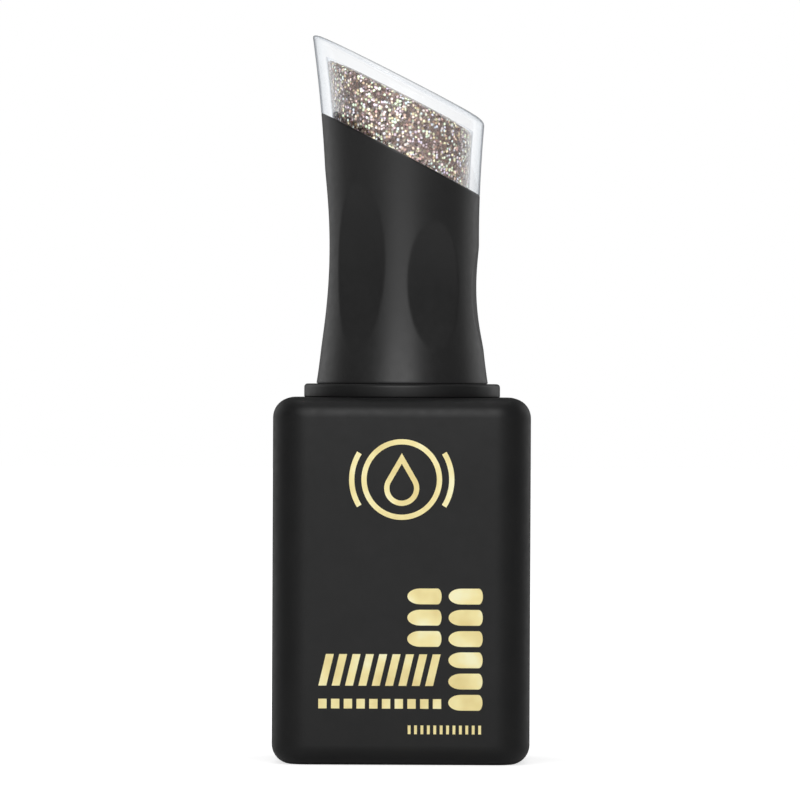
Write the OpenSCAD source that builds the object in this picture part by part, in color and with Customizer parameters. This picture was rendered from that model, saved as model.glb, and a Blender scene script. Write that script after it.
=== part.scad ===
/* [Bottle] */
// Width and depth of the square bottle body, mm
body_w = 29.5; // [26:0.1:32]
// Height of the body from the base to the shoulder, mm
body_h = 41.9; // [36:0.1:46]
// Radius of the four upright edges, mm
body_edge_r = 4.2; // [3:0.1:6]
// Radius of the shoulder and base edges, mm
body_fillet = 2.3; // [1:0.1:2.8]
// Thickness of the glass side walls and shoulder, mm
glass_wall = 3; // [2.4:0.1:3.6]
// Thickness of the glass floor, mm
glass_floor = 5; // [4:0.1:6]
// Depth of the push-up under the base, mm
push_up = 0.5; // [0.3:0.05:0.8]
// Radius of the push-up under the base, mm
push_up_r = 9; // [7:0.1:10]
// Fill level of the polish above the base, mm
fill_z = 33; // [20:0.5:36]

/* [Neck] */
// Height of the neck above the shoulder, mm
neck_h = 11.3; // [10.5:0.1:12]
// Radius of the neck at the bottom of its thread, mm
neck_root_r = 5.75; // [5.6:0.01:5.8]
// Radius of the neck at the top of its thread, mm
neck_crest_r = 6.5; // [6.4:0.01:6.55]
// Radius of the neck's bore, mm
neck_bore_r = 3.5; // [3.2:0.1:3.8]
// Lead of the right-hand thread, mm a turn
lead = 2.117; // [2:0.001:2.2]

/* [Cap] */
// Radius of the cap at its foot, mm
cap_foot_r = 9.9; // [9.5:0.01:10.2]
// Radius of the cap at its waist, mm
cap_waist_r = 8.8; // [8.7:0.01:9.2]
// Height of the waist above the base, mm
waist_z = 61; // [58:0.5:63]
// Radius that the outline has reached at the overall height, mm
cap_top_r = 10.55; // [9.6:0.01:11]
// Overall height of the closed bottle, measured at the tip's corner, mm
overall_h = 84; // [80:0.05:86]
// Height of the joint between cap and tip on the cap's axis, mm
joint_z = 69.8; // [68:0.1:71]
// Fall of the joint towards +X, mm a mm
joint_slope = 0.517; // [0.4:0.001:0.6]
// Fall of the tip's top face towards +X, mm a mm
top_slope = 0.505; // [0.4:0.001:0.6]
// Outer radius of the flange ring, mm
ring_r = 11.3; // [10.8:0.1:11.8]
// Thickness of the flange ring, mm
ring_h = 1.55; // [1:0.05:2]

/* [Finger scoops] */
// Number of scoops round the cap
scoop_count = 6; // [4:1:7]
// Direction of the first scoop from the front towards +X, degrees
scoop_turn = -35; // [-45:1:-20]
// Depth of each scoop at its middle, mm
scoop_depth = 0.6; // [0.3:0.05:0.7]
// Height of every scoop's lower end above the base, mm
scoop_foot_z = 47.4; // [46:0.1:49]
// Distance from a scoop's upper end to the slanted joint, mm
scoop_gap = 5.9; // [5:0.1:9]

/* [Clear tip] */
// Thickness of the tip's side wall, mm
tip_wall = 1.2; // [1:0.1:2]
// Thickness of the tip above the insert, measured upright, mm
tip_roof = 2; // [1.6:0.1:3.2]

/* [Brush] */
// Radius of the brush stem, mm
stem_r = 1.7; // [1.6:0.05:1.9]
// Height of the bristles' tip above the base, mm
brush_tip_z = 6.8; // [6.4:0.1:8]
// Free length of the bristles below the stem, mm
bristle_free = 16; // [13:0.5:18]

/* [Foil print] */
// Thickness of the foil, mm
foil_t = 0.03; // [0.02:0.01:0.05]
// Line width of the emblem, mm
foil_line = 0.6; // [0.3:0.05:0.8]

/* [Hidden] */
$fn = 64;
eps = 0.01;
half_w = body_w / 2;
rim_z = body_h + neck_h;

// Thread: the cap's ridge runs half a turn's rise above the neck's ridge. Both sink into their wall
// and keep a share of their height at their ends.
thread_steps = 30;
neck_thread_z = body_h + 4.7;
neck_thread_turns = 2.2;
cap_thread_z = neck_thread_z + lead / 2;
cap_thread_turns = 1.25;
cap_bore_r = neck_crest_r + 0.2;
cap_crest_r = neck_root_r + 0.25;
root_land = 1.05;
crest_land = 0.38;
ridge_end = 0.15;
ridge_sink = 0.2;

// Stack on the rim: washer, brush flange, roof of the inner cap
washer_t = 0.8;
washer_r = 5.7;
washer_hole_r = stem_r + 0.15;
flange_z = rim_z + washer_t;
flange_t = 1.4;
flange_r = 6.1;
roof_z = flange_z + flange_t;
roof_t = 1.2;
boss_r = 2.6;
inner_top = roof_z + roof_t;
inner_r = cap_bore_r + 0.65;

// Flange ring: its spigot runs freely inside the cap's foot.
ring_z = body_h + 0.03;
foot_z = ring_z + ring_h;
ring_edge = 0.4;
ring_bore_r = neck_crest_r + 0.4;
spigot_in_r = inner_r + 0.1;
spigot_out_r = 8.6;
spigot_h = 1.2;
recess_h = spigot_h + 0.1;
run_gap = 0.06;
bead_r = 0.16;

// Cap and tip: how fast the outline opens below and above the waist
foot_curve = 2.5;
top_curve = 1.85;
blank_top = joint_z + 10;
blank_low = joint_z - 6;
cap_cavity_r = 6.4;
deck_t = 1.8;
rib_t = 0.8;
rib_h = 6;
tip_top_z = overall_h - cap_top_r * top_slope;
insert_gap = 0.12;

// Brush
stem_end_z = brush_tip_z + bristle_free;
socket_r = 1.42;
socket_h = 5;
boss_h = roof_t + 1.4;
root_r = socket_r - 0.08;
tuft_r = socket_r - 0.02;
staple_t = 0.35;
staple_h = 1.6;
staple_w = 2.4;
staple_z = stem_end_z + socket_h - staple_h - 0.1;
channel_r = 2.9;
channel_z = brush_tip_z - 0.6;

// Cavity of the glass
cavity_w = body_w - 2 * glass_wall;
cavity_h = body_h - glass_wall - glass_floor;
cavity_edge_r = 3;
cavity_fillet = 2.4;

// Label inside the push-up
label_t = 0.12;
label_r = push_up_r - 1;

// Foil print, measured on the front face from its middle and the base
emblem_r = 4.6;
emblem_z = 32.6;
drop_r = 2;
drop_z = emblem_z - 1;
ripple_r = emblem_r + 1.4;
card_size = [3.9, 1.8];
card_pitch = 2.42;
card_z = 7.2;
card_top_row = 5;
card_right_x = 7.35;
card_left_x = 2.65;
card_left_row = 3;
stroke_size = [0.9, 3.6];
stroke_lean = 0.85;
stroke_pitch = 1.52;
stroke_z = 9.1;
block_size = [0.95, 1.1];
block_pitch = 1.45;
block_z = 6.5;
rows_x = -9.4;
tick_size = [0.32, 1];
tick_pitch = 0.73;
tick_x = 0.8;
tick_z = 3.6;

// Radius of the waisted outline at height z: a softer curve above the waist than below it
function cap_r(z) = z < waist_z
    ? cap_waist_r + (cap_foot_r - cap_waist_r) * pow((waist_z - z) / (waist_z - foot_z), foot_curve)
    : cap_waist_r + (cap_top_r - cap_waist_r) * pow((z - waist_z) / (overall_h - waist_z), top_curve);

// Height of the joint plane above a place across the cap
function joint_at(x) = joint_z - joint_slope * x;

// Outline of one upright edge: a strip with rounded outer corners
module edge_outline(width, height, fillet) {
    arc = [for (a = [0:15:90]) fillet * [sin(a), cos(a)]];
    low = [for (p = arc) [width - fillet + p[0], fillet - p[1]]];
    high = [for (k = [len(arc) - 1:-1:0])
        [width - fillet + arc[k][0], height - fillet + arc[k][1]]];
    polygon(concat([[0, 0]], low, high, [[0, height]]));
}

// Box with rounded upright edges and filleted ends, standing on z = 0
module soft_box(width, height, edge_r, fillet) {
    core = width - 2 * edge_r;
    translate([-core / 2, -core / 2, 0]) cube([core, core, height]);
    for (side = [0:3])
        rotate([0, 0, side * 90]) {
            translate([core / 2, core / 2, 0])
                rotate_extrude(angle = 90) edge_outline(edge_r, height, fillet);
            translate([core / 2, core / 2, 0])
                rotate([90, 0, 0])
                    linear_extrude(core) edge_outline(edge_r, height, fillet);
        }
}

// Helical ridge of trapezium section that fades out over its first and last quarter turn
module thread_ridge(base_r, top_r, z, turns) {
    last = round(turns * thread_steps);
    fade = thread_steps / 4;
    points = [for (i = [0:last])
        let (a = 360 * i / thread_steps,
            h = z + lead * i / thread_steps,
            f = max(ridge_end, min(1, i / fade, (last - i) / fade)),
            r = base_r + (top_r - base_r) * f)
        each [for (c = [[base_r, -root_land / 2], [r, -crest_land / 2],
                [r, crest_land / 2], [base_r, root_land / 2]])
            [c[0] * cos(a), c[0] * sin(a), h + c[1]]]];
    flip = top_r > base_r;
    sides = [for (i = [0:last - 1], k = [0:3])
        let (a = 4 * i + k, b = 4 * i + (k + 1) % 4)
        each flip ? [[a, b, a + 4], [b, b + 4, a + 4]] : [[a, a + 4, b], [b, a + 4, b + 4]]];
    start = flip ? [[3, 2, 1, 0]] : [[0, 1, 2, 3]];
    finish = [[for (k = [0:3]) 4 * last + (flip ? k : 3 - k)]];
    polyhedron(points, concat(start, sides, finish), convexity = 6);
}

module ring_tube(outer, inner, z, height) {
    translate([0, 0, z])
        difference() {
            cylinder(r = outer, h = height);
            translate([0, 0, -1]) cylinder(r = inner, h = height + 2);
        }
}

// Solid of revolution under the waisted outline, taken in by an inset
module waisted(z_low, z_high, inset) {
    steps = ceil((z_high - z_low) / 2);
    outline = [for (i = [0:steps])
        let (z = z_low + (z_high - z_low) * i / steps) [cap_r(z) - inset, z]];
    rotate_extrude()
        polygon(concat([[0, z_low]], outline, [[0, z_high]]));
}

// Block that fills everything above a plane falling towards +X
module above_plane(z_axis, slope) {
    reach = 16;
    translate([0, reach, 0])
        rotate([90, 0, 0])
            linear_extrude(2 * reach)
                polygon([[-reach, z_axis + slope * reach], [reach, z_axis - slope * reach],
                    [reach, 120], [-reach, 120]]);
}

// Roller that cuts one finger scoop: flat across the cap, hollow along it
module scoop_cutter(i) {
    turn = scoop_turn + 360 * i / scoop_count;
    top_z = joint_at(cap_r(waist_z) * sin(turn)) - scoop_gap;
    mid_z = (top_z + scoop_foot_z) / 2;
    half = (top_z - scoop_foot_z) / 2;
    low_r = cap_r(scoop_foot_z);
    high_r = cap_r(top_z);
    tilt = atan2(high_r - low_r, 2 * half);
    deep = (low_r + high_r) / 2 - (cap_r(mid_z) - scoop_depth);
    roller_r = (half * half + deep * deep) / (2 * deep);
    rotate([0, 0, turn - 90])
        translate([(low_r + high_r) / 2 - deep, 0, mid_z])
            rotate([0, tilt, 0])
                translate([roller_r, 0, 0])
                    rotate([90, 0, 0])
                        cylinder(r = roller_r, h = 14, center = true);
}

module glass_bottle() {
    color([0.13, 0.13, 0.13])
        difference() {
            union() {
                soft_box(body_w, body_h, body_edge_r, body_fillet);
                translate([0, 0, body_h - glass_wall / 2])
                    cylinder(r = neck_root_r, h = neck_h + glass_wall / 2);
                thread_ridge(neck_root_r - ridge_sink, neck_crest_r, neck_thread_z, neck_thread_turns);
            }
            translate([0, 0, glass_floor])
                soft_box(cavity_w, cavity_h, cavity_edge_r, cavity_fillet);
            translate([0, 0, body_h - glass_wall - 1])
                cylinder(r = neck_bore_r, h = neck_h + glass_wall + 2);
            translate([0, 0, -1]) cylinder(r = push_up_r, h = 1 + push_up);
        }
}

module gel_polish() {
    color([0.66, 0.52, 0.47])
        difference() {
            intersection() {
                translate([0, 0, glass_floor])
                    soft_box(cavity_w, cavity_h, cavity_edge_r, cavity_fillet);
                translate([-half_w, -half_w, 0]) cube([body_w, body_w, fill_z]);
            }
            translate([0, 0, channel_z]) cylinder(r = channel_r, h = fill_z);
        }
}

module shade_label() {
    color([0.92, 0.92, 0.9])
        translate([0, 0, push_up - label_t]) cylinder(r = label_r, h = label_t);
}

// Places a flat shape on the front face, with x to the right and y up from the base
module on_front() {
    translate([0, -half_w, 0])
        rotate([90, 0, 0])
            linear_extrude(foil_t) children();
}

// Drop with its point up, as an outline of constant line width
module drop_outline(r) {
    difference() {
        drop_shape(r);
        drop_shape(r - foil_line);
    }
}

module drop_shape(r) {
    circle(r);
    polygon([[-r * cos(30), r * sin(30)], [r * cos(30), r * sin(30)], [0, r * 2]]);
}

// Nail-tip shape lying on its side, pointing to -X: an oval free edge and a flatter oval root
module nail_tip(length, width) {
    free_edge = width * 0.8;
    root = width * 0.25;
    polygon(concat(
        [for (a = [-90:15:90]) [-length / 2 + free_edge * (1 - cos(a)), -width / 2 * sin(a)]],
        [for (a = [90:-15:-90]) [length / 2 - root * (1 - cos(a)), -width / 2 * sin(a)]]));
}

// Short arc to the right of the emblem, like a ripple
module ripple_arc(r) {
    polygon(concat(
        [for (a = [-32:4:32]) r * [cos(a), sin(a)]],
        [for (a = [32:-4:-32]) (r - foil_line) * [cos(a), sin(a)]]));
}

module foil_print() {
    color([0.86, 0.74, 0.42]) {
        // Emblem: a drop inside a ring, with a ripple on each side
        on_front() translate([0, emblem_z])
            difference() {
                circle(emblem_r);
                circle(emblem_r - foil_line);
            }
        on_front() translate([0, drop_z]) drop_outline(drop_r);
        for (side = [0, 1])
            on_front() translate([0, emblem_z]) mirror([side, 0]) ripple_arc(ripple_r);
        // Two columns of nail-tip shapes, like a shade card
        for (k = [0:card_top_row])
            on_front() translate([card_right_x, card_z + k * card_pitch])
                nail_tip(card_size[0], card_size[1]);
        for (k = [card_left_row:card_top_row])
            on_front() translate([card_left_x, card_z + k * card_pitch])
                nail_tip(card_size[0], card_size[1]);
        // Row of slanted strokes over a row of squares
        for (k = [0:8])
            on_front() translate([rows_x + k * stroke_pitch, stroke_z])
                polygon([[0, 0], [stroke_size[0], 0], [stroke_size[0] + stroke_lean, stroke_size[1]],
                    [stroke_lean, stroke_size[1]]]);
        for (k = [0:9])
            on_front() translate([rows_x + k * block_pitch, block_z]) square(block_size);
        // Row of fine ticks near the base
        for (k = [0:11])
            on_front() translate([tick_x + k * tick_pitch, tick_z]) square(tick_size);
    }
}

module sealing_washer() {
    color([0.95, 0.95, 0.93]) ring_tube(washer_r, washer_hole_r, rim_z, washer_t);
}

module base_ring() {
    color([0.16, 0.16, 0.16])
        rotate_extrude() {
            translate([ring_bore_r, ring_z]) square([ring_r - ring_bore_r - ring_edge, ring_h]);
            translate([ring_bore_r, ring_z]) square([ring_r - ring_bore_r, ring_h - ring_edge]);
            translate([ring_r - ring_edge, foot_z - ring_edge]) circle(ring_edge);
            translate([spigot_in_r, ring_z + ring_h / 2])
                square([spigot_out_r - spigot_in_r, ring_h / 2 + spigot_h]);
            translate([spigot_out_r, foot_z + spigot_h / 2]) circle(bead_r);
        }
}

module inner_cap() {
    color([0.1, 0.1, 0.1]) {
        difference() {
            translate([0, 0, foot_z + 0.3]) cylinder(r = inner_r, h = inner_top - foot_z - 0.3);
            translate([0, 0, foot_z - 1]) cylinder(r = cap_bore_r, h = roof_z - foot_z + 1);
            translate([0, 0, roof_z - 1]) cylinder(r = boss_r + 0.03, h = roof_t + 2);
        }
        thread_ridge(cap_bore_r + ridge_sink, cap_crest_r, cap_thread_z, cap_thread_turns);
    }
}

module outer_cap() {
    color([0.17, 0.17, 0.17])
        difference() {
            waisted(foot_z, blank_top, 0);
            above_plane(joint_z, joint_slope);
            // Bore for the inner cap
            translate([0, 0, foot_z - 1]) cylinder(r = inner_r, h = inner_top - foot_z + 1);
            // Foot recess for the ring's spigot and its snap bead
            translate([0, 0, foot_z - 1])
                cylinder(r = spigot_out_r + run_gap, h = 1 + recess_h);
            rotate_extrude()
                translate([spigot_out_r, foot_z + spigot_h / 2]) circle(bead_r + run_gap);
            // Hollow above the inner cap, with its roof along the slanted deck and ribs left standing
            difference() {
                translate([0, 0, inner_top - eps])
                    cylinder(r = cap_cavity_r, h = blank_top - inner_top);
                above_plane(joint_z - deck_t, joint_slope);
                for (side = [0:3])
                    rotate([0, 0, 45 + side * 90])
                        translate([cap_cavity_r / 2, -rib_t / 2, inner_top])
                            cube([cap_cavity_r, rib_t, rib_h]);
            }
            for (i = [0:scoop_count - 1])
                scoop_cutter(i);
        }
}

module clear_tip() {
    color([0.88, 0.93, 0.97, 0.5])
        difference() {
            waisted(blank_low, overall_h + 0.2, 0);
            mirror([0, 0, 1]) mirror([1, 0, 0])
                above_plane(-joint_z, joint_slope);
            above_plane(tip_top_z, top_slope);
            difference() {
                waisted(blank_low - 0.2, overall_h + 0.4, tip_wall);
                above_plane(tip_top_z - tip_roof, top_slope);
            }
        }
}

module glitter_insert() {
    color([0.69, 0.6, 0.56])
        difference() {
            waisted(blank_low, overall_h, tip_wall + insert_gap);
            mirror([0, 0, 1]) mirror([1, 0, 0])
                above_plane(-joint_z, joint_slope);
            above_plane(tip_top_z - tip_roof - insert_gap, top_slope);
        }
}

module brush_stem() {
    color([0.15, 0.15, 0.15])
        difference() {
            union() {
                translate([0, 0, stem_end_z]) cylinder(r = stem_r, h = flange_z - stem_end_z + eps);
                translate([0, 0, flange_z]) cylinder(r = flange_r, h = flange_t);
                translate([0, 0, roof_z - eps]) cylinder(r = boss_r, h = boss_h);
            }
            translate([0, 0, stem_end_z - 1]) cylinder(r = socket_r, h = socket_h + 1);
        }
}

module bristle_staple() {
    color("goldenrod")
        translate([-staple_w / 2, -staple_t / 2, staple_z]) cube([staple_w, staple_t, staple_h]);
}

// One oval section of the tuft, a thin slice at height z
module tuft_slice(half_x, half_y, z) {
    translate([0, 0, z]) scale([half_x / half_y, 1, 1]) cylinder(r = half_y, h = 0.1, $fn = 32);
}

module bristles() {
    color([0.2, 0.17, 0.15])
        difference() {
            union() {
                translate([0, 0, stem_end_z - 0.5]) cylinder(r = root_r, h = socket_h + 0.4, $fn = 32);
                hull() {
                    tuft_slice(tuft_r, tuft_r, stem_end_z - 0.12);
                    tuft_slice(2.2, 1.05, brush_tip_z + 9);
                    tuft_slice(2.2, 1.05, brush_tip_z + 5);
                    tuft_slice(1.7, 0.75, brush_tip_z + 1.5);
                    tuft_slice(0.77, 0.42, brush_tip_z);
                }
            }
            translate([-stem_r, -staple_t / 2 - 0.02, staple_z - 0.05])
                cube([2 * stem_r, staple_t + 0.04, staple_h + 1]);
        }
}

glass_bottle();
gel_polish();
shade_label();
foil_print();
sealing_washer();
base_ring();
inner_cap();
outer_cap();
clear_tip();
glitter_insert();
brush_stem();
bristle_staple();
bristles();
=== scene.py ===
import math
import random

import bmesh
import bpy
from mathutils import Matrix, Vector


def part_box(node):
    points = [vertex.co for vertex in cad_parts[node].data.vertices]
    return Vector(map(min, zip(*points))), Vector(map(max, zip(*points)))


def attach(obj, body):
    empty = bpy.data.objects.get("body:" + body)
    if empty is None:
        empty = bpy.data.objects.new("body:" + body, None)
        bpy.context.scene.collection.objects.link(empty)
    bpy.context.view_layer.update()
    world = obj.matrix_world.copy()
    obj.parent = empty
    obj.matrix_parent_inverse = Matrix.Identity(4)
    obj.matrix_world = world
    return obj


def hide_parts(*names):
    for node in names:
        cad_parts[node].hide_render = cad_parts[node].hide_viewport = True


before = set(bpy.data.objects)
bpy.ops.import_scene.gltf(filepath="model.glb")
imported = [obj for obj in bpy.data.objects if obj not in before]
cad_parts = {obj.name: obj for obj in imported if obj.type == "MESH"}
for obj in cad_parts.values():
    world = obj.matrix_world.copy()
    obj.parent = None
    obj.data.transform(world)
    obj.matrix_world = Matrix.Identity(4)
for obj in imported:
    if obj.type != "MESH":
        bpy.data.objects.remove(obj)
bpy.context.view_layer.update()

# ---------------------------------------------------------------- sizes, in metres
MM = 0.001
TURN = 2 * math.pi

bottle_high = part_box("glass_bottle")[1]
ring_low, ring_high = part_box("base_ring")
washer_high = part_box("sealing_washer")[1]
inner_cap_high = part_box("inner_cap")[1]
fill_low, fill_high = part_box("gel_polish")
stem_low, stem_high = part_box("brush_stem")
tuft_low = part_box("bristles")[0]
label_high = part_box("shade_label")[1]

# Bottle, as in part.scad
half_w = bottle_high.x
rim_z = bottle_high.z
neck_h = 11.3 * MM
shoulder_z = rim_z - neck_h
edge_r = 4.2 * MM
fillet = 2.3 * MM
floor_z = fill_low.z
cavity_half = fill_high.x
glass_wall = 3 * MM
cavity_top = shoulder_z - glass_wall
cavity_edge_r = 3 * MM
cavity_fillet = 2.4 * MM
push_up = label_high.z
label_margin = 1 * MM
push_up_r = label_high.x + label_margin
neck_root_r = 5.75 * MM
neck_crest_r = 6.5 * MM
neck_bore_r = 3.5 * MM
lead = 2.117 * MM
thread_start = 4.7 * MM
thread_z = shoulder_z + thread_start
thread_turns = 2.2
thread_root = 0.53 * MM
thread_crest = 0.19 * MM

# Cap outline, as in part.scad
flange_h = 1.55 * MM
foot_z = ring_low.z + flange_h
foot_r = 9.9 * MM
foot_curve = 2.5
waist_z = 61 * MM
waist_r = 8.8 * MM
top_z = 84 * MM
top_r = 10.55 * MM
top_curve = 1.85
joint_z = 69.8 * MM
joint_slope = 0.517
top_slope = 0.505
tip_axis_z = top_z - top_r * top_slope
inner_cap_r = inner_cap_high.x
inner_cap_top = inner_cap_high.z
recess_r = 8.66 * MM
recess_h = 1.3 * MM
hollow_r = 6.4 * MM
deck = 1.8 * MM

# Finger scoops
scoop_count = 6
scoop_turn = math.radians(-35 - 90)
scoop_depth = 0.6 * MM
scoop_foot_z = 47.4 * MM
scoop_gap = 5.9 * MM
scoop_soft = 0.07 * MM

# Clear tip and insert
tip_wall = 1.2 * MM
tip_roof = 2.0 * MM
insert_gap = 0.12 * MM


# ---------------------------------------------------------------- mesh helpers
def smooth_min(a, b, width):
    blend = max(width - abs(a - b), 0) / width
    return min(a, b) - blend * blend * width / 4


def skin(rings):
    """Faces between successive rings of points. A ring of one point is a pole."""
    verts, faces, starts = [], [], []
    for ring in rings:
        starts.append((len(verts), len(ring)))
        verts.extend(ring)
    for (a, count_a), (b, count_b) in zip(starts, starts[1:]):
        count = max(count_a, count_b)
        for i in range(count):
            j = (i + 1) % count
            if count_a == 1:
                faces.append((a, b + j, b + i))
            elif count_b == 1:
                faces.append((a + i, a + j, b))
            else:
                faces.append((a + i, a + j, b + j, b + i))
    return verts, faces


def closed_lathe(profile, count):
    """Ring-shaped solid: the profile of (radius, height) pairs is a loop."""
    return skin([round_ring(r, z, count) for r, z in profile + profile[:1]])


def round_ring(r, z, count):
    return [(r * math.cos(TURN * i / count), r * math.sin(TURN * i / count), z)
            for i in range(count)]


def lathe(profile, count):
    """Solid of revolution from (radius, height) pairs. A radius of 0 becomes a pole."""
    return skin([[(0, 0, z)] if r == 0 else round_ring(r, z, count) for r, z in profile])


def add_piece(name, shape, material, body, stands_for, crease=32):
    """Adds a visible piece that rides on a body in place of CAD nodes. Sharp past the crease angle."""
    verts, faces = shape
    mesh = bpy.data.meshes.new(name)
    mesh.from_pydata(verts, [], faces)
    bm = bmesh.new()
    bm.from_mesh(mesh)
    bmesh.ops.remove_doubles(bm, verts=bm.verts, dist=1e-7)
    bmesh.ops.recalc_face_normals(bm, faces=bm.faces)
    for face in bm.faces:
        face.smooth = True
    for edge in bm.edges:
        if edge.is_manifold and edge.calc_face_angle() > math.radians(crease):
            edge.smooth = False
    bm.to_mesh(mesh)
    bm.free()
    piece = bpy.data.objects.new(name, mesh)
    bpy.context.scene.collection.objects.link(piece)
    mesh.materials.append(material)
    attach(piece, body)
    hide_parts(*stands_for)


def dress(node, material):
    """Gives a CAD node its material."""
    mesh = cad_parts[node].data
    mesh.materials.clear()
    mesh.materials.append(material)


# ---------------------------------------------------------------- shapes
def square_ring(half, corner, z, per_corner=16, per_side=16):
    """Ring of points round a square with rounded corners."""
    core = half - corner
    centres = [(core, core), (-core, core), (-core, -core), (core, -core)]
    points = []
    for k in range(4):
        cx, cy = centres[k]
        next_x, next_y = centres[(k + 1) % 4]
        start = k * TURN / 4
        for i in range(per_corner + 1):
            a = start + TURN / 4 * i / per_corner
            points.append((cx + corner * math.cos(a), cy + corner * math.sin(a), z))
        ax, ay, _ = points[-1]
        a = start + TURN / 4
        bx, by = next_x + corner * math.cos(a), next_y + corner * math.sin(a)
        for i in range(1, per_side):
            t = i / per_side
            points.append((ax + (bx - ax) * t, ay + (by - ay) * t, z))
    return points


def to_circle(ring, radius, z):
    """Ring with another's directions. Its radius may be a function of angle and height."""
    points = []
    for x, y, _ in ring:
        a = math.atan2(y, x)
        r = radius(a, z) if callable(radius) else radius
        points.append((r * math.cos(a), r * math.sin(a), z))
    return points


def thread_height(a, z):
    """How far the neck's thread stands out at an angle and height."""
    rise = 0
    for k in range(math.ceil(thread_turns)):
        turned = a % TURN / TURN + k
        if turned > thread_turns:
            continue
        fade = min(1, turned * 4, (thread_turns - turned) * 4)
        away = abs(z - thread_z - lead * turned)
        t = max(0, min(1, (thread_root - away) / (thread_root - thread_crest)))
        rise = max(rise, t * t * (3 - 2 * t) * fade)
    return rise * (neck_crest_r - neck_root_r)


def neck_radius(a, z):
    root_curve = max(0, 0.8 * MM - (z - shoulder_z))
    return neck_root_r + root_curve * root_curve / (1.6 * MM) + thread_height(a, z)


def bottle_shape():
    steps = 10
    rings = [[(0, 0, push_up)]]
    base = square_ring(half_w - fillet, edge_r - fillet, 0)
    rings += [to_circle(base, push_up_r * t, push_up) for t in (0.35, 0.7, 0.97)]
    rings += [to_circle(base, push_up_r * 1.02, push_up * 0.3), to_circle(base, push_up_r * 1.05, 0)]
    for i in range(steps + 1):
        a = TURN / 4 * i / steps
        inset = fillet * (1 - math.sin(a))
        rings.append(square_ring(half_w - inset, edge_r - inset, fillet * (1 - math.cos(a))))
    for t in (0.25, 0.5, 0.75):
        rings.append(square_ring(half_w, edge_r, fillet + (shoulder_z - 2 * fillet) * t))
    for i in range(steps + 1):
        a = TURN / 4 * i / steps
        inset = fillet * (1 - math.cos(a))
        rings.append(square_ring(half_w - inset, edge_r - inset,
                                 shoulder_z - fillet * (1 - math.sin(a))))
    shoulder = rings[-1]
    lip = 0.5 * MM
    count = 92
    rings.append(to_circle(shoulder, neck_radius(0, shoulder_z), shoulder_z))
    for i in range(1, count + 1):
        rings.append(to_circle(shoulder, neck_radius, shoulder_z + (rim_z - lip - shoulder_z) * i / count))
    for i in range(1, 7):
        a = TURN / 4 * i / 6
        rings.append(to_circle(shoulder, neck_root_r - lip * (1 - math.cos(a)),
                               rim_z - lip * (1 - math.sin(a))))
    for i in range(7):
        a = TURN / 4 * i / 6
        rings.append(to_circle(shoulder, neck_bore_r + lip * (1 - math.sin(a)),
                               rim_z - lip * (1 - math.cos(a))))
    rings.append(to_circle(shoulder, neck_bore_r, cavity_top + 0.6 * MM))
    rings.append(to_circle(shoulder, neck_bore_r + 0.4 * MM, cavity_top))
    for i in range(steps + 1):
        a = TURN / 4 * i / steps
        inset = cavity_fillet * (1 - math.sin(a))
        rings.append(square_ring(cavity_half - inset, cavity_edge_r - inset,
                                 cavity_top - cavity_fillet * (1 - math.cos(a))))
    for i in range(steps + 1):
        a = TURN / 4 * i / steps
        inset = cavity_fillet * (1 - math.cos(a))
        rings.append(square_ring(cavity_half - inset, cavity_edge_r - inset,
                                 floor_z + cavity_fillet * (1 - math.sin(a))))
    rings.append([(0, 0, floor_z)])
    return skin(rings)


def fill_shape():
    """The polish: the cavity's form just inside the glass, with a meniscus that climbs the wall."""
    steps = 6
    gap = 0.05 * MM
    half = cavity_half - gap
    rings = [[(0, 0, floor_z + gap)]]
    for i in range(steps + 1):
        a = TURN / 4 * i / steps
        inset = cavity_fillet * (1 - math.sin(a))
        rings.append(square_ring(half - inset, cavity_edge_r - inset,
                                 floor_z + gap + cavity_fillet * (1 - math.cos(a))))
    rim = fill_high.z
    rings.append(square_ring(half, cavity_edge_r, rim))
    for inset, drop in ((0.3, 0.28), (0.8, 0.5), (1.6, 0.62), (2.7, 0.66)):
        corner = max(cavity_edge_r - inset * MM, 0.2 * MM)
        rings.append(square_ring(half - inset * MM, corner, rim - drop * MM))
    rings.append([(0, 0, rim - 0.68 * MM)])
    return skin(rings)


def outline_r(z):
    """Radius of the cap's waisted outline."""
    if z < waist_z:
        return waist_r + (foot_r - waist_r) * ((waist_z - z) / (waist_z - foot_z)) ** foot_curve
    return waist_r + (top_r - waist_r) * ((z - waist_z) / (top_z - waist_z)) ** top_curve


def make_scoops():
    """Each scoop as the direction, the roller's centre (radius, height) and its radius."""
    scoops = []
    for i in range(scoop_count):
        turn = scoop_turn + TURN * i / scoop_count
        high = joint_z - joint_slope * outline_r(waist_z) * math.cos(turn) - scoop_gap
        middle = (high + scoop_foot_z) / 2
        half = (high - scoop_foot_z) / 2
        low_r, high_r = outline_r(scoop_foot_z), outline_r(high)
        tilt = math.atan2(high_r - low_r, 2 * half)
        mean_r = (low_r + high_r) / 2
        deep = mean_r - (outline_r(middle) - scoop_depth)
        roller = (half * half + deep * deep) / (2 * deep)
        scoops.append((turn, mean_r - deep + roller * math.cos(tilt),
                       middle - roller * math.sin(tilt), roller))
    return scoops


scoops = make_scoops()


def cap_radius(a, z):
    """Outline with the scoops cut in."""
    r = outline_r(z)
    for turn, centre_r, centre_z, roller in scoops:
        away = math.cos(a - turn)
        reach = roller * roller - (z - centre_z) ** 2
        if away > 0.6 and reach > 0:
            r = smooth_min(r, (centre_r - math.sqrt(reach)) / away, scoop_soft)
    return r


def meet(a, radius, axis_z, slope):
    """Radius and height where the wall meets a plane that falls towards +X."""
    z = axis_z
    for _ in range(12):
        z = axis_z - slope * radius(a, z) * math.cos(a)
    return radius(a, z), z


def at(a, r, z):
    return (r * math.cos(a), r * math.sin(a), z)


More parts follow.
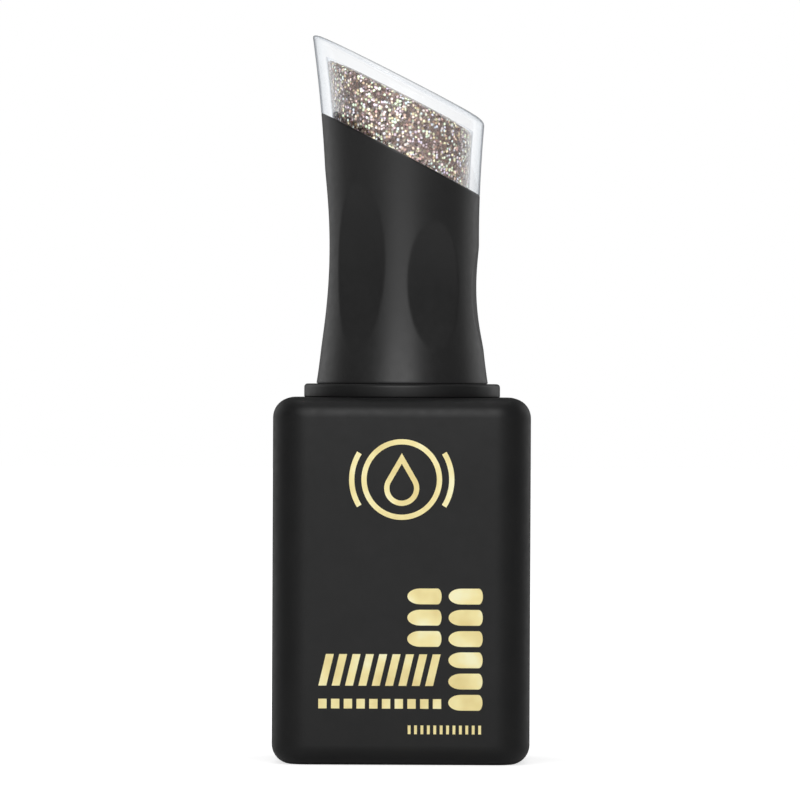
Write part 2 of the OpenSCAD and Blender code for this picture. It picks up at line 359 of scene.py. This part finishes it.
def corner_points(wall, corner, top, down, along, steps):
    """Rounded corner between wall and top, taking so much of each, as (radius, height) pairs."""
    def toward(p, q, size):
        d = math.hypot(q[0] - p[0], q[1] - p[1])
        return (p[0] + (q[0] - p[0]) * size / d, p[1] + (q[1] - p[1]) * size / d)

    start, end = toward(corner, wall, down), toward(corner, top, along)
    points = []
    for i in range(steps + 1):
        t = i / steps
        points.append(tuple((1 - t) ** 2 * start[k] + 2 * t * (1 - t) * corner[k] + t * t * end[k]
                            for k in (0, 1)))
    return points


def columns_to_rings(columns):
    """Turns one column of (radius, height) pairs for each direction into rings."""
    count = len(columns)
    rings = []
    for level in range(len(columns[0])):
        rings.append([at(TURN * i / count, *columns[i][level]) for i in range(count)])
    return rings


def cap_shape():
    """Hollow, roofed handle: its inside from deck to foot, then its outside up to the joint."""
    around, up = 384, 150
    turns = [TURN * i / around for i in range(around)]
    foot_ease, seam_ease = 0.14 * MM, 0.12 * MM
    rings = [[(0, 0, joint_z - deck)]]
    for share in (0.5, 1):
        r = hollow_r * share
        rings.append([at(a, r, joint_z - deck - joint_slope * r * math.cos(a)) for a in turns])
    for r, z in ((hollow_r, inner_cap_top), (inner_cap_r, inner_cap_top),
                 (inner_cap_r, foot_z + recess_h), (recess_r, foot_z + recess_h)):
        rings.append(round_ring(r, z, around))
    columns = []
    for a in turns:
        seam_r, seam_z = meet(a, cap_radius, joint_z, joint_slope)
        column = [(recess_r, foot_z + 0.05 * MM), (recess_r + 0.1 * MM, foot_z)]
        column.append((cap_radius(a, foot_z) - 0.16 * MM, foot_z))
        column.append((cap_radius(a, foot_z) - 0.05 * MM, foot_z + 0.04 * MM))
        for k in range(up):
            z = foot_z + foot_ease + (seam_z - seam_ease - foot_z - foot_ease) * k / (up - 1)
            column.append((cap_radius(a, z), z))
        column.append((seam_r - 0.04 * MM, seam_z - 0.03 * MM))
        for share in (0.985, 0.8, 0.4):
            r = seam_r * share
            column.append((r, joint_z - joint_slope * r * math.cos(a)))
        columns.append(column)
    rings += columns_to_rings(columns)
    rings.append([(0, 0, joint_z)])
    return skin(rings)


def tip_profile(a, inset, low, high_axis, down, along, up):
    """Column of a slanted solid: from the joint plane up the wall and round onto the top plane."""
    def wall(_angle, z):
        return outline_r(z) - inset

    low_z = meet(a, wall, low, joint_slope)[1]
    high_r, high_z = meet(a, wall, high_axis, top_slope)
    below_z, within_r = high_z - 1 * MM, high_r - 2 * MM
    below = (wall(a, below_z), below_z)
    within = (within_r, high_axis - top_slope * within_r * math.cos(a))
    corner = corner_points(below, (high_r, high_z), within, down, along, 9)
    stop_z = corner[0][1]
    column = []
    for k in range(up):
        z = low_z + (stop_z - low_z) * k / up
        column.append((wall(a, z), z))
    column += corner
    for share in (0.75, 0.4):
        r = corner[-1][0] * share
        column.append((r, high_axis - top_slope * r * math.cos(a)))
    return column


def slant_rings(inset, low, high_axis, down, along, around=256, up=24):
    columns = [tip_profile(TURN * i / around, inset, low, high_axis, down, along, up)
               for i in range(around)]
    return columns_to_rings(columns)


def clear_tip_shape():
    seam = 0.02 * MM
    outer = slant_rings(0, joint_z + seam, tip_axis_z, 0.7 * MM, 1.7 * MM)
    inner = slant_rings(tip_wall, joint_z + seam, tip_axis_z - tip_roof, 0.1 * MM, 0.1 * MM)
    rings = [[(0, 0, tip_axis_z - tip_roof)]] + inner[::-1] + outer + [[(0, 0, tip_axis_z)]]
    return skin(rings)


def insert_shape():
    inset = tip_wall + insert_gap
    rings = slant_rings(inset, joint_z + 0.02 * MM, tip_axis_z - tip_roof - insert_gap,
                        0.8 * MM, 1.1 * MM)
    return skin([[(0, 0, joint_z + 0.02 * MM)]] + rings
                + [[(0, 0, tip_axis_z - tip_roof - insert_gap)]])


def arc(cx, cz, r, first, last, steps):
    """Points of an arc in degrees, as (radius, height) pairs."""
    return [(cx + r * math.cos(math.radians(first + (last - first) * i / steps)),
             cz + r * math.sin(math.radians(first + (last - first) * i / steps)))
            for i in range(steps + 1)]


def ring_shape():
    ring_r = ring_high.x
    low, top, spigot_top = ring_low.z, foot_z - 0.01 * MM, ring_high.z
    bore, spigot_in, spigot_out = 6.9 * MM, 7.46 * MM, 8.58 * MM
    bead_z = (top + spigot_top) / 2
    edge, small = 0.4 * MM, 0.12 * MM
    profile = arc(ring_r - small, low + small, small, -90, 0, 4)
    profile += arc(ring_r - edge, top - edge, edge, 0, 90, 8)
    profile += [(spigot_out, top)]
    profile += arc(spigot_out, bead_z, 0.15 * MM, -90, 90, 6)
    profile += [(spigot_out, spigot_top - 0.1 * MM), (spigot_out - 0.1 * MM, spigot_top),
                (spigot_in, spigot_top), (spigot_in, low + 0.7 * MM), (bore, low + 0.7 * MM),
                (bore, low)]
    return closed_lathe(profile, 192)


def stem_shape():
    """Rod with a socket and three grip grooves at its mouth, and the flange and boss at its top."""
    top, seat, mouth = stem_high.z, washer_high.z, stem_low.z
    stem_r, socket_r, boss_r, flange_r = 1.7 * MM, 1.42 * MM, 2.58 * MM, 6.08 * MM
    flange_top = seat + 1.39 * MM
    groove_count, groove_pitch, groove_depth = 3, 0.9 * MM, 0.07 * MM
    skin_r = stem_r - 0.02 * MM
    profile = [(0, mouth + 0.6 * MM), (socket_r, mouth + 0.6 * MM), (socket_r, mouth + 0.05 * MM)]
    profile += [(1.5 * MM, mouth), (stem_r - 0.1 * MM, mouth), (skin_r, mouth + 0.1 * MM)]
    for k in range(groove_count):
        groove = mouth + 1.1 * MM + groove_pitch * k
        profile += [(skin_r, groove - 0.16 * MM), (skin_r - groove_depth, groove - 0.06 * MM),
                    (skin_r - groove_depth, groove + 0.06 * MM), (skin_r, groove + 0.16 * MM)]
    profile += [(stem_r, mouth + 5 * MM), (stem_r, seat - 0.3 * MM), (stem_r + 0.12 * MM, seat)]
    profile += [(flange_r - 0.18 * MM, seat), (flange_r, seat + 0.15 * MM)]
    profile += [(flange_r, flange_top - 0.14 * MM), (flange_r - 0.13 * MM, flange_top)]
    profile += [(boss_r, flange_top), (boss_r, top - 0.2 * MM), (boss_r - 0.18 * MM, top), (0, top)]
    return lathe(profile, 96)


def filament(verts, faces, path, radii, sides=5):
    """Adds one thin tube along a path to the lists."""
    start = len(verts)
    for p, r in zip(path, radii):
        for k in range(sides):
            a = TURN * k / sides
            verts.append((p[0] + r * math.cos(a), p[1] + r * math.sin(a), p[2]))
    for level in range(len(path) - 1):
        for k in range(sides):
            a = start + level * sides + k
            b = start + level * sides + (k + 1) % sides
            faces.append((a, b, b + sides, a + sides))
    faces.append(tuple(start + k for k in range(sides))[::-1])
    faces.append(tuple(start + (len(path) - 1) * sides + k for k in range(sides)))


def bristle_shape():
    """Flat tuft of separate tapered filaments with a rounded end."""
    draw = random.Random(7)
    verts, faces = [], []
    count = 320
    root_z = stem_low.z + 0.55 * MM
    tip_z = tuft_low.z
    root_r, half_x, half_y = 1.3 * MM, 2.1 * MM, 0.95 * MM
    for i in range(count):
        share = math.sqrt((i + 0.5) / count)
        a = i * TURN * 0.381966
        u, v = share * math.cos(a), share * math.sin(a)
        jitter = draw.uniform(-0.25, 0.25) * MM
        end_z = tip_z + 0.3 * MM + 3.2 * MM * u * u + 0.8 * MM * v * v + jitter
        path, radii = [], []
        for k in range(7):
            t = k / 6
            z = root_z + (end_z - root_z) * t
            spread = min(1, t * 1.9)
            spread = spread * spread * (3 - 2 * spread)
            close = max(0, t - 0.72) / 0.28
            x = u * (root_r + (half_x - root_r) * spread) * (1 - 0.13 * close * close)
            y = v * (root_r + (half_y - root_r) * spread) * (1 - 0.35 * close * close)
            wave = 0.05 * MM * math.sin(3 * t + i) * t
            path.append((x + wave, y + wave * 0.4, z))
            radii.append((0.05 - 0.022 * t ** 3) * MM)
        filament(verts, faces, path, radii)
    return verts, faces


# ---------------------------------------------------------------- materials
class Shader:
    """A material with its Principled shader, and short ways to add nodes."""

    def __init__(self, name, **values):
        self.material = bpy.data.materials.new(name)
        self.material.use_nodes = True
        self.tree = self.material.node_tree
        self.surface = self.tree.nodes["Principled BSDF"]
        self.coords = self.tree.nodes.new("ShaderNodeTexCoord").outputs["Object"]
        for key, value in values.items():
            self.surface.inputs[key.replace("_", " ")].default_value = value

    def node(self, kind, **settings):
        node = self.tree.nodes.new("ShaderNode" + kind)
        for key, value in settings.items():
            setattr(node, key, value)
        return node

    def link(self, out, into):
        self.tree.links.new(out, into)

    def noise(self, size, detail=3, stretch=(1, 1, 1)):
        """Noise with features of about one size in metres."""
        mapping = self.node("Mapping")
        mapping.inputs["Scale"].default_value = stretch
        self.link(self.coords, mapping.inputs["Vector"])
        noise = self.node("TexNoise")
        noise.inputs["Scale"].default_value = 1 / size
        noise.inputs["Detail"].default_value = detail
        self.link(mapping.outputs["Vector"], noise.inputs["Vector"])
        return noise.outputs["Fac"]

    def remap(self, value, from_low, from_high, low, high):
        """Maps one range of a value onto another, and clamps it there."""
        remap = self.node("MapRange")
        for key, number in (("From Min", from_low), ("From Max", from_high),
                            ("To Min", low), ("To Max", high)):
            remap.inputs[key].default_value = number
        self.link(value, remap.inputs["Value"])
        return remap.outputs["Result"]

    def spread(self, value, low, high, into):
        """Maps 0.3 to 0.7 of a value, most of what a noise covers, onto low to high."""
        self.link(self.remap(value, 0.3, 0.7, low, high), into)

    def ramp(self, value, stops, into=None):
        """Colours placed along a value."""
        ramp = self.node("ValToRGB")
        elements = ramp.color_ramp.elements
        while len(elements) < len(stops):
            elements.new(0.5)
        for element, (place, colour) in zip(elements, stops):
            element.position = place
            element.color = (*colour, 1)
        self.link(value, ramp.inputs["Fac"])
        if into is not None:
            self.link(ramp.outputs["Color"], into)
        return ramp.outputs["Color"]

    def bump(self, height, depth, strength=1.0):
        """Adds a bump on top of what is already there."""
        bump = self.node("Bump")
        bump.inputs["Distance"].default_value = depth
        bump.inputs["Strength"].default_value = strength
        self.link(height, bump.inputs["Height"])
        before = self.surface.inputs["Normal"].links
        if before:
            self.link(before[0].from_socket, bump.inputs["Normal"])
        self.link(bump.outputs["Normal"], self.surface.inputs["Normal"])


def lacquer():
    """Satin black lacquer on glass: faint orange peel and fine grain."""
    m = Shader("lacquer_black", Roughness=0.5, Specular_IOR_Level=0.34)
    m.ramp(m.noise(4 * MM), [(0.3, (0.0072, 0.0073, 0.0076)), (0.7, (0.0095, 0.0095, 0.0097))],
           m.surface.inputs["Base Color"])
    m.spread(m.noise(1.2 * MM, 5), 0.42, 0.5, m.surface.inputs["Roughness"])
    m.bump(m.noise(1.6 * MM, 1), 0.006 * MM, 0.5)
    m.bump(m.noise(0.09 * MM, 2), 0.0015 * MM, 0.5)
    return m.material


def soft_touch(name, gloss):
    """Matte soft-touch coat: fine grain with slightly uneven sheen."""
    m = Shader(name, Roughness=0.38, Specular_IOR_Level=gloss)
    m.ramp(m.noise(5 * MM), [(0.3, (0.0125, 0.0125, 0.0127)), (0.7, (0.0155, 0.0154, 0.0155))],
           m.surface.inputs["Base Color"])
    m.spread(m.noise(0.9 * MM, 5), 0.36, 0.43, m.surface.inputs["Roughness"])
    m.bump(m.noise(0.11 * MM, 3), 0.0025 * MM, 0.6)
    m.bump(m.noise(2.2 * MM, 1), 0.004 * MM, 0.4)
    return m.material


def black_plastic(name, roughness):
    """Moulded black plastic with faint flow marks along the axis."""
    m = Shader(name, Roughness=roughness)
    m.ramp(m.noise(2 * MM), [(0.3, (0.008, 0.008, 0.008)), (0.7, (0.012, 0.012, 0.012))],
           m.surface.inputs["Base Color"])
    m.spread(m.noise(1 * MM, 4, (1, 1, 0.15)), roughness - 0.05, roughness + 0.07,
             m.surface.inputs["Roughness"])
    m.bump(m.noise(0.3 * MM, 3, (1, 1, 0.2)), 0.003 * MM, 0.5)
    return m.material


def gold_foil():
    """Pale gold hot foil with a soft sweep of tone and fine wrinkles."""
    m = Shader("gold_foil", Metallic=1.0, Roughness=0.5)
    m.ramp(m.noise(3.5 * MM, 2), [(0.32, (0.86, 0.72, 0.34)), (0.55, (0.97, 0.86, 0.45)),
                                  (0.7, (1.0, 0.95, 0.62))], m.surface.inputs["Base Color"])
    m.spread(m.noise(0.5 * MM, 4), 0.44, 0.54, m.surface.inputs["Roughness"])
    m.bump(m.noise(0.16 * MM, 3), 0.004 * MM, 0.5)
    return m.material


def acrylic():
    """Clear acrylic under a gloss coat, with painted shade that greys it where it is seen edge on, in
    place of the darkening that refraction would give. Lamps shine through it.
    """
    m = Shader("clear_acrylic", Roughness=0.02, IOR=1.0, Transmission_Weight=1.0, Coat_Weight=1.0,
               Coat_Roughness=0.03, Coat_IOR=1.49)
    # Painted shade: the base colour is nearly clear where the surface faces the eye and turns grey towards
    # edge on.
    edge = m.node("LayerWeight")
    edge.inputs["Blend"].default_value = 0.5
    m.ramp(edge.outputs["Facing"], [(0.0, (0.965, 0.975, 0.985)), (0.4, (0.955, 0.965, 0.98)),
                                    (0.55, (0.9, 0.92, 0.94)), (0.67, (0.77, 0.8, 0.83)),
                                    (0.78, (0.57, 0.6, 0.64)), (0.9, (0.42, 0.45, 0.49))],
           m.surface.inputs["Base Color"])
    m.bump(m.noise(3 * MM, 2), 0.002 * MM, 0.3)
    path = m.node("LightPath")
    clear = m.node("BsdfTransparent")
    mix = m.node("MixShader")
    m.link(path.outputs["Is Shadow Ray"], mix.inputs[0])
    m.link(m.surface.outputs["BSDF"], mix.inputs[1])
    m.link(clear.outputs["BSDF"], mix.inputs[2])
    m.link(mix.outputs["Shader"], m.tree.nodes["Material Output"].inputs["Surface"])
    return m.material


def glitter():
    """Dark rose-brown base packed with holographic flakes, each with its own hue, tone and tilt."""
    m = Shader("glitter_rose", Metallic=0.4, Specular_IOR_Level=0.6)
    flake = 0.3 * MM
    cells = m.node("TexVoronoi", feature="F1")
    cells.inputs["Scale"].default_value = 1 / flake
    m.link(m.coords, cells.inputs["Vector"])
    pick = m.node("SeparateColor")
    m.link(cells.outputs["Color"], pick.inputs["Color"])
    tone = m.ramp(pick.outputs["Red"], [
        (0.0, (0.02, 0.008, 0.005)), (0.25, (0.08, 0.04, 0.027)), (0.45, (0.28, 0.19, 0.145)),
        (0.62, (0.55, 0.46, 0.38)), (0.8, (0.85, 0.8, 0.72)), (1.0, (1.0, 1.0, 0.97))])
    hue = m.ramp(pick.outputs["Green"], [
        (0.0, (1.0, 0.72, 0.8)), (0.2, (1.0, 0.92, 0.6)), (0.4, (0.74, 1.0, 0.75)),
        (0.6, (0.74, 0.86, 1.0)), (0.78, (0.88, 0.74, 1.0)), (1.0, (1.0, 0.9, 0.82))])
    shine = m.node("Mix", data_type="RGBA", blend_type="MULTIPLY")
    shine.inputs["Factor"].default_value = 1.0
    m.link(tone, shine.inputs["A"])
    m.link(hue, shine.inputs["B"])
    between = m.remap(cells.outputs["Distance"], 0.42, 0.6, 0.0, 0.9)
    base = m.node("Mix", data_type="RGBA")
    base.inputs["B"].default_value = (0.07, 0.032, 0.022, 1)
    m.link(between, base.inputs["Factor"])
    m.link(shine.outputs["Result"], base.inputs["A"])
    m.link(base.outputs["Result"], m.surface.inputs["Base Color"])
    m.spread(pick.outputs["Blue"], 0.15, 0.4, m.surface.inputs["Roughness"])
    lean = m.node("VectorMath", operation="SUBTRACT")
    lean.inputs[1].default_value = (0.5, 0.5, 0.5)
    m.link(cells.outputs["Color"], lean.inputs[0])
    tilt = m.node("VectorMath", operation="MULTIPLY_ADD")
    tilt.inputs[1].default_value = (0.9, 0.9, 0.9)
    m.link(lean.outputs["Vector"], tilt.inputs[0])
    m.link(m.node("NewGeometry").outputs["Normal"], tilt.inputs[2])
    facing = m.node("VectorMath", operation="NORMALIZE")
    m.link(tilt.outputs["Vector"], facing.inputs[0])
    m.link(facing.outputs["Vector"], m.surface.inputs["Normal"])
    return m.material


def liquid():
    """Glossy rose-brown gel with fine shimmer."""
    m = Shader("gel_liquid", Roughness=0.06, Specular_IOR_Level=0.6)
    cells = m.node("TexVoronoi", feature="F1")
    cells.inputs["Scale"].default_value = 1 / (0.3 * MM)
    m.link(m.coords, cells.inputs["Vector"])
    pick = m.node("SeparateColor")
    m.link(cells.outputs["Color"], pick.inputs["Color"])
    m.ramp(pick.outputs["Red"], [(0.0, (0.1, 0.05, 0.035)), (0.6, (0.3, 0.2, 0.16)),
                                 (1.0, (0.85, 0.8, 0.75))], m.surface.inputs["Base Color"])
    m.bump(m.noise(3 * MM, 1), 0.01 * MM, 0.4)
    return m.material


def foam():
    """Off-white closed-cell foam of the liner."""
    m = Shader("liner_foam", Roughness=0.7)
    m.ramp(m.noise(0.5 * MM), [(0.3, (0.72, 0.72, 0.69)), (0.7, (0.84, 0.84, 0.81))],
           m.surface.inputs["Base Color"])
    m.bump(m.noise(0.12 * MM, 3), 0.02 * MM, 0.7)
    return m.material


def label_film():
    """Blank pale label film with a faint paper tooth."""
    m = Shader("label_film", Roughness=0.55)
    m.ramp(m.noise(1.5 * MM, 4), [(0.3, (0.7, 0.69, 0.66)), (0.7, (0.8, 0.8, 0.78))],
           m.surface.inputs["Base Color"])
    m.bump(m.noise(0.1 * MM, 3), 0.006 * MM, 0.6)
    return m.material


def brass_wire():
    m = Shader("staple_brass", Metallic=1.0, Roughness=0.25)
    m.ramp(m.noise(0.4 * MM), [(0.3, (0.66, 0.47, 0.2)), (0.7, (0.85, 0.66, 0.34))],
           m.surface.inputs["Base Color"])
    m.bump(m.noise(0.1 * MM, 2, (1, 1, 0.1)), 0.004 * MM, 0.5)
    return m.material


def nylon():
    """Dark nylon filament with uneven streaks of tone along its length."""
    m = Shader("nylon_filament", Roughness=0.35)
    m.ramp(m.noise(0.7 * MM, 3, (1, 1, 0.2)), [(0.3, (0.03, 0.022, 0.02)), (0.7, (0.12, 0.08, 0.065))],
           m.surface.inputs["Base Color"])
    m.spread(m.noise(0.2 * MM, 2, (1, 1, 0.1)), 0.25, 0.45, m.surface.inputs["Roughness"])
    return m.material


def floor_paint():
    """Pale studio floor that reads as white, like the surround, where nothing shades it."""
    m = Shader("studio_floor", Roughness=0.6)
    m.surface.inputs["Emission Color"].default_value = (1, 1, 1, 1)
    m.ramp(m.noise(0.4, 2), [(0.3, (0.76, 0.76, 0.76)), (0.7, (0.78, 0.78, 0.78))],
           m.surface.inputs["Base Color"])
    away = m.node("VectorMath", operation="LENGTH")
    m.link(m.coords, away.inputs[0])
    glow = m.remap(away.outputs["Value"], 20 * MM, 60 * MM, 0.72, 1.0)
    path = m.node("LightPath")
    seen = m.node("Math", operation="MAXIMUM")
    m.link(path.outputs["Is Camera Ray"], seen.inputs[0])
    m.link(path.outputs["Is Transmission Ray"], seen.inputs[1])
    strength = m.node("Math", operation="MULTIPLY")
    m.link(glow, strength.inputs[0])
    m.link(seen.outputs["Value"], strength.inputs[1])
    m.link(strength.outputs["Value"], m.surface.inputs["Emission Strength"])
    return m.material


# ---------------------------------------------------------------- pieces
lacquer_black = lacquer()

add_piece("bottle_body", bottle_shape(), lacquer_black, "bottle", ["glass_bottle"])
add_piece("polish_fill", fill_shape(), liquid(), "bottle", ["gel_polish"])
add_piece("flange_ring", ring_shape(), soft_touch("ring_soft_touch", 0.36), "ring",
          ["base_ring"])
add_piece("cap_handle", cap_shape(), soft_touch("cap_soft_touch", 0.56), "cap", ["outer_cap"])
add_piece("tip_window", clear_tip_shape(), acrylic(), "cap", ["clear_tip"])
add_piece("glitter_core", insert_shape(), glitter(), "cap", ["glitter_insert"])
add_piece("brush_rod", stem_shape(), black_plastic("stem_black", 0.35), "cap",
          ["brush_stem"])
add_piece("brush_filaments", bristle_shape(), nylon(), "cap", ["bristles"])
dress("foil_print", gold_foil())
dress("shade_label", label_film())
dress("sealing_washer", foam())
dress("inner_cap", black_plastic("inner_cap_black", 0.42))
dress("bristle_staple", brass_wire())


# ---------------------------------------------------------------- stage, light and camera
def add_floor():
    size = 3.0
    mesh = bpy.data.meshes.new("floor")
    corners = [(-size, -size, 0), (size, -size, 0), (size, size, 0), (-size, size, 0)]
    mesh.from_pydata(corners, [], [(0, 1, 2, 3)])
    mesh.materials.append(floor_paint())
    floor = bpy.data.objects.new("floor", mesh)
    bpy.context.scene.collection.objects.link(floor)


def aim(thing, target):
    direction = Vector(target) - thing.location
    thing.rotation_euler = direction.to_track_quat("-Z", "Y").to_euler()


def add_softbox(name, place, width, height, radiance, target=(0, 0, 0.045)):
    """Area lamp whose face has the given brightness."""
    lamp = bpy.data.lights.new(name, "AREA")
    lamp.shape = "RECTANGLE"
    lamp.size = width
    lamp.size_y = height
    lamp.energy = radiance * math.pi * width * height
    box = bpy.data.objects.new(name, lamp)
    box.location = place
    aim(box, target)
    box.visible_camera = False
    bpy.context.scene.collection.objects.link(box)


def add_world():
    """Plain white behind the object and through its glass, and a dimmer room for the light."""
    world = bpy.data.worlds.new("studio")
    bpy.context.scene.world = world
    world.use_nodes = True
    tree = world.node_tree
    tree.nodes.clear()
    out = tree.nodes.new("ShaderNodeOutputWorld")
    room = tree.nodes.new("ShaderNodeBackground")
    room.inputs["Color"].default_value = (1, 1, 1, 1)
    room.inputs["Strength"].default_value = 0.13
    white = tree.nodes.new("ShaderNodeBackground")
    white.inputs["Strength"].default_value = 1.0
    white.inputs["Color"].default_value = (1, 1, 1, 1)
    path = tree.nodes.new("ShaderNodeLightPath")
    either = tree.nodes.new("ShaderNodeMath")
    either.operation = "MAXIMUM"
    mix = tree.nodes.new("ShaderNodeMixShader")
    tree.links.new(path.outputs["Is Camera Ray"], either.inputs[0])
    tree.links.new(path.outputs["Is Transmission Ray"], either.inputs[1])
    tree.links.new(either.outputs["Value"], mix.inputs[0])
    tree.links.new(room.outputs["Background"], mix.inputs[1])
    tree.links.new(white.outputs["Background"], mix.inputs[2])
    tree.links.new(mix.outputs["Shader"], out.inputs["Surface"])


def add_camera():
    """Long lens, almost level with the base ring, framed on the middle of the bottle."""
    distance = 1.1
    eye_z = 46 * MM
    middle_z = 41.6 * MM
    aside = -0.24 * MM
    frame_w = 92.35 * MM
    roll = math.radians(0.25)
    lens = bpy.data.cameras.new("camera")
    lens.sensor_width = 36
    lens.lens = 36 * distance / frame_w
    lens.clip_start = 0.05
    lens.clip_end = 20
    camera = bpy.data.objects.new("camera", lens)
    camera.location = (aside, -distance, eye_z)
    aim(camera, (aside, 0, middle_z))
    camera.rotation_euler.rotate_axis("Z", roll)
    bpy.context.scene.collection.objects.link(camera)
    bpy.context.scene.camera = camera


add_floor()
add_world()
add_camera()
add_softbox("front_softbox", (-0.08, -1.2, 0.85), 1.1, 0.9, 3.6)
add_softbox("fill_card", (0, -1.8, 0.3), 1.2, 0.7, 1.0)
add_softbox("rear_left_strip", (-0.78, 0.65, 0.15), 0.9, 1.0, 0.65)
add_softbox("rear_right_strip", (0.78, 0.65, 0.15), 0.9, 1.0, 0.65)
add_softbox("overhead_softbox", (0, 0.2, 1.1), 0.8, 0.8, 0.7)
bpy.context.scene.view_settings.view_transform = "Standard"
bpy.context.scene.cycles.max_bounces = 24
bpy.context.scene.cycles.glossy_bounces = 24
bpy.context.scene.cycles.transmission_bounces = 24
